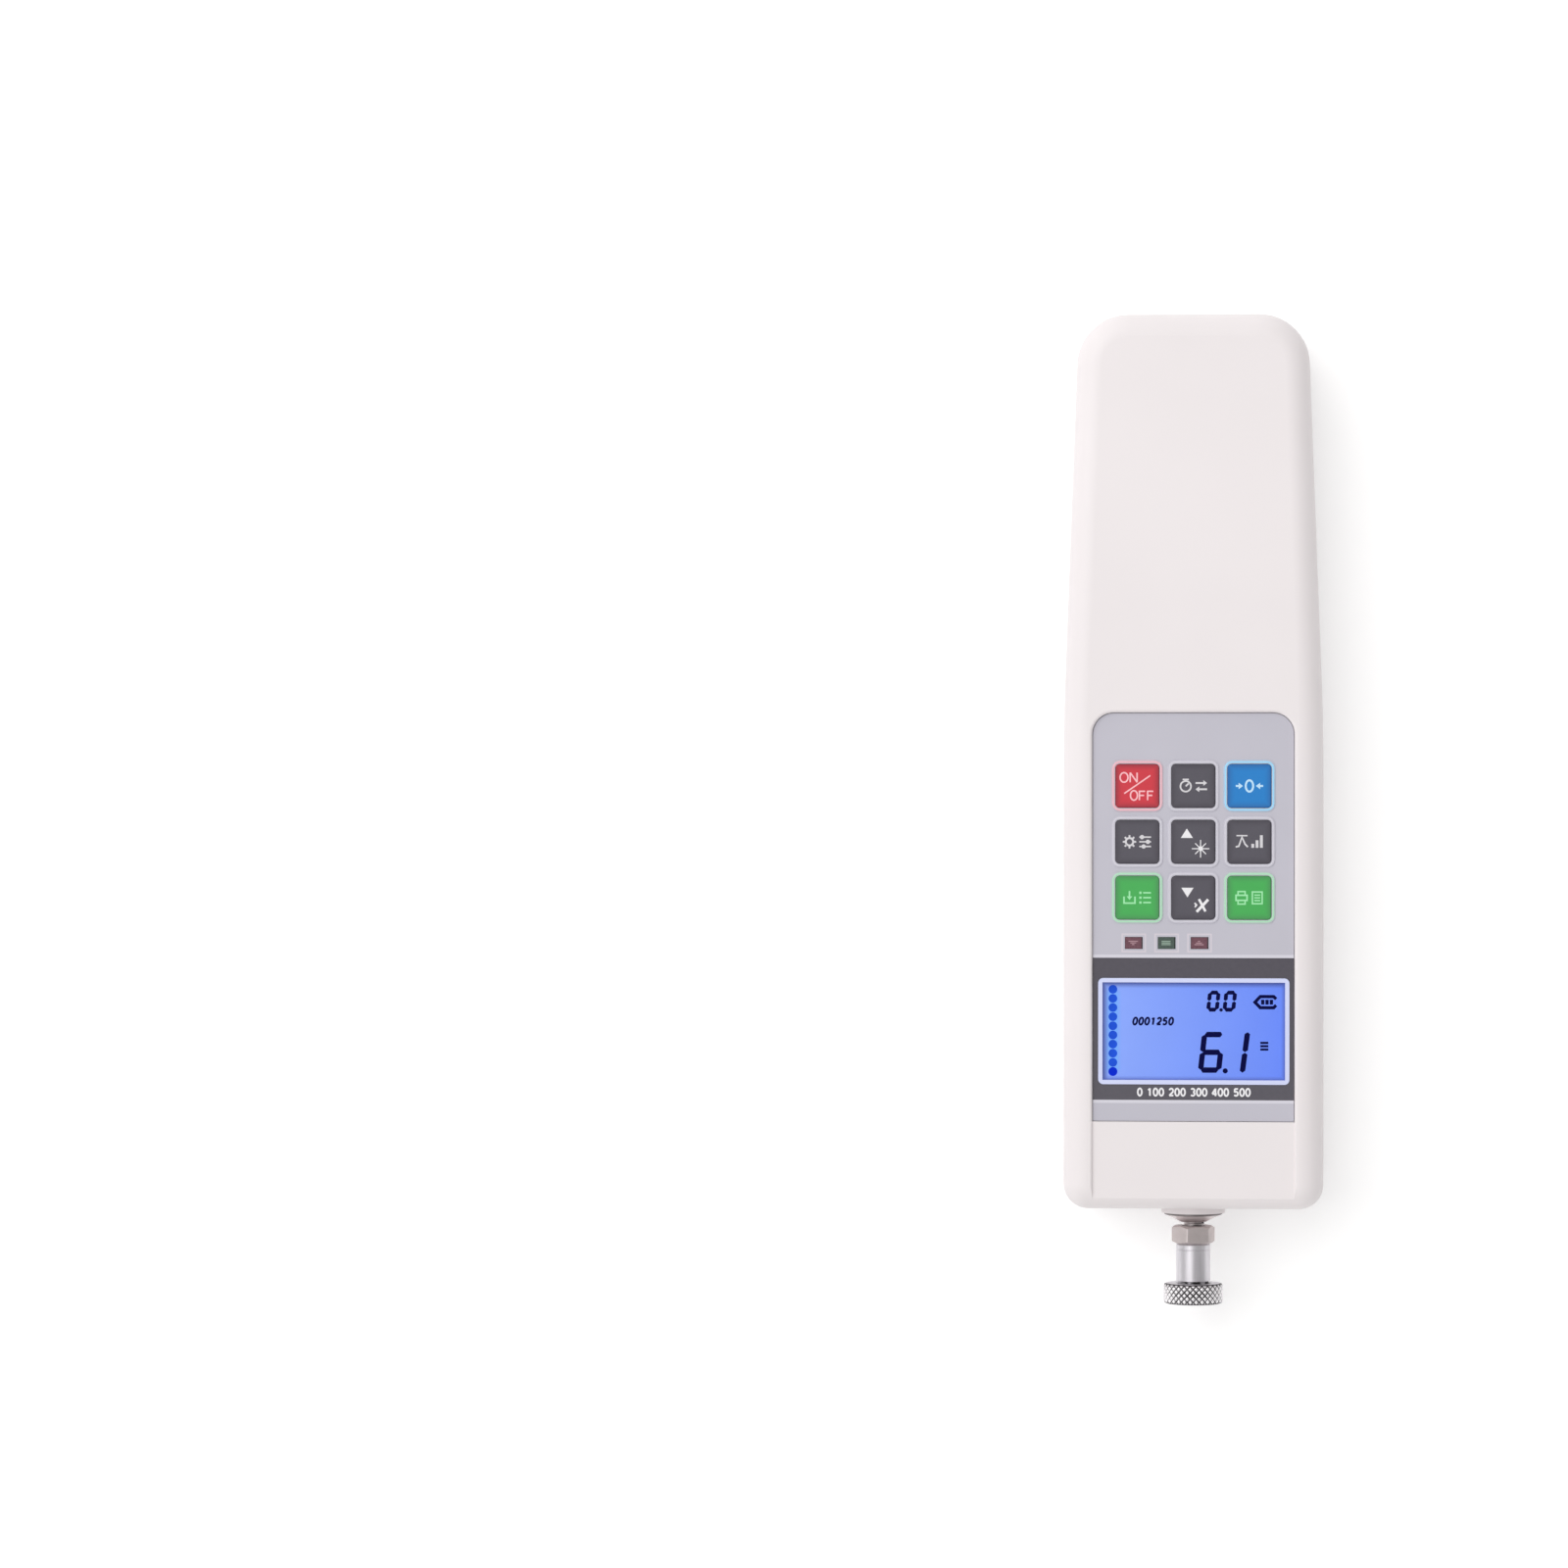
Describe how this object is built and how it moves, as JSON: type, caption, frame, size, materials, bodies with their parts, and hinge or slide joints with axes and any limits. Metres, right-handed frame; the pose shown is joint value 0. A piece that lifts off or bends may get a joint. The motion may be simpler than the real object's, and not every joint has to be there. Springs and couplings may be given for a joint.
{
  "type": "digital force gauge",
  "caption": "Handheld digital push-pull force gauge: long tapered two-part plastic case, membrane keypad, blue display, threaded shaft with lock nut and knurled flat head.",
  "frame": {"origin": "centre of the four stand holes, on the back face", "axes": "+Z out of the display, +Y to the top end of the case, +X to the right as the display is seen; the measuring shaft points to -Y"},
  "size_m": [0.067, 0.2551, 0.036],
  "materials": {
    "battery_sleeve": "shrink sleeve",
    "board_green": "lacquered",
    "case_plastic": "fine satin grain",
    "cell_steel": "ground",
    "chassis_aluminium": "milled",
    "chip_black": "matt",
    "film_clear": "film",
    "foil_copper": "foil",
    "frame_lilac": "satin",
    "head_steel": "turned and knurled",
    "key_blue": "embossed film",
    "key_green": "embossed film",
    "key_grey": "embossed film",
    "key_red": "embossed film",
    "lcd_blue": "glossy",
    "lens_green": "diffused",
    "lens_red": "diffused",
    "moulded_black": "satin",
    "moulded_white": "satin",
    "nose_metal": "anodised",
    "nut_steel": "nickel plated",
    "panel_grey": "fine matt film",
    "screw_steel": "zinc plated",
    "shaft_steel": "turned",
    "spring_steel": "smooth",
    "tab_nickel": "nickel",
    "window_clear": "clear"
  },
  "bodies": {
    "housing": {"backlight": "moulded_white", "battery_cells": "battery_sleeve", "battery_tray": "moulded_black", "board_screws": "screw_steel", "bracket_screws": "screw_steel", "buzzer": "chip_black", "case_screws": "screw_steel", "cell_tabs": "tab_nickel", "charger_jack": "moulded_black", "chassis_plate": "chassis_aluminium", "chassis_screws": "screw_steel", "controller_chip": "chip_black", "data_port": "tab_nickel", "display_frame": "frame_lilac", "display_window": "window_clear", "front_cover": "case_plastic", "graphic_overlay": "panel_grey", "jack_pin": "tab_nickel", "keypad_circuit": "film_clear", "keypad_connector": "moulded_white", "keypad_spacer": "film_clear", "lcd_glass": "lcd_blue", "light_high": "lens_red", "light_low": "lens_red", "light_ok": "lens_green", "load_cell": "cell_steel", "main_board": "board_green", "nose_bush": "nose_metal", "nose_nut": "screw_steel", "rear_cover": "case_plastic", "sensor_bolt": "screw_steel", "sensor_bracket": "chassis_aluminium", "signal_chips": "chip_black", "snap_domes": "spring_steel", "socket_board": "board_green", "socket_screws": "screw_steel", "strain_gauges": "foil_copper", "tray_screws": "screw_steel"},
    "shaft": {"measuring_shaft": "shaft_steel"},
    "nut": {"lock_nut": "nut_steel"},
    "head": {"flat_head": "head_steel"},
    "key_power_pad": {"key_power": "key_red"},
    "key_unit_pad": {"key_unit": "key_grey"},
    "key_zero_pad": {"key_zero": "key_blue"},
    "key_set_pad": {"key_set": "key_grey"},
    "key_up_pad": {"key_up": "key_grey"},
    "key_peak_pad": {"key_peak": "key_grey"},
    "key_memory_pad": {"key_memory": "key_green"},
    "key_down_pad": {"key_down": "key_grey"},
    "key_print_pad": {"key_print": "key_green"}
  },
  "joints": [
    {"name": "shaft_slide", "type": "slide", "parent": "housing", "child": "shaft", "axis": [0, 1, 0], "range_m": [-0.00025, 0.00025], "stiffness_N_per_m": 100000, "deforming": ["load_cell"]},
    {"name": "lock_nut_spin", "type": "hinge", "parent": "shaft", "child": "nut", "pos_m": [0, -0.12225, 0.018], "axis": [0, 1, 0], "continuous": true},
    {"name": "head_spin", "type": "hinge", "parent": "shaft", "child": "head", "pos_m": [0, -0.1351, 0.018], "axis": [0, 1, 0], "continuous": true},
    {"name": "key_power_press", "type": "slide", "parent": "housing", "child": "key_power_pad", "axis": [0, 0, -1], "range_m": [0, 0.00035], "stiffness_N_per_m": 2000, "springref_m": -0.0001, "deforming": ["snap_domes"]},
    {"name": "key_unit_press", "type": "slide", "parent": "housing", "child": "key_unit_pad", "axis": [0, 0, -1], "range_m": [0, 0.00035], "stiffness_N_per_m": 2000, "springref_m": -0.0001},
    {"name": "key_zero_press", "type": "slide", "parent": "housing", "child": "key_zero_pad", "axis": [0, 0, -1], "range_m": [0, 0.00035], "stiffness_N_per_m": 2000, "springref_m": -0.0001},
    {"name": "key_set_press", "type": "slide", "parent": "housing", "child": "key_set_pad", "axis": [0, 0, -1], "range_m": [0, 0.00035], "stiffness_N_per_m": 2000, "springref_m": -0.0001},
    {"name": "key_up_press", "type": "slide", "parent": "housing", "child": "key_up_pad", "axis": [0, 0, -1], "range_m": [0, 0.00035], "stiffness_N_per_m": 2000, "springref_m": -0.0001},
    {"name": "key_peak_press", "type": "slide", "parent": "housing", "child": "key_peak_pad", "axis": [0, 0, -1], "range_m": [0, 0.00035], "stiffness_N_per_m": 2000, "springref_m": -0.0001},
    {"name": "key_memory_press", "type": "slide", "parent": "housing", "child": "key_memory_pad", "axis": [0, 0, -1], "range_m": [0, 0.00035], "stiffness_N_per_m": 2000, "springref_m": -0.0001},
    {"name": "key_down_press", "type": "slide", "parent": "housing", "child": "key_down_pad", "axis": [0, 0, -1], "range_m": [0, 0.00035], "stiffness_N_per_m": 2000, "springref_m": -0.0001},
    {"name": "key_print_press", "type": "slide", "parent": "housing", "child": "key_print_pad", "axis": [0, 0, -1], "range_m": [0, 0.00035], "stiffness_N_per_m": 2000, "springref_m": -0.0001}
  ]
}
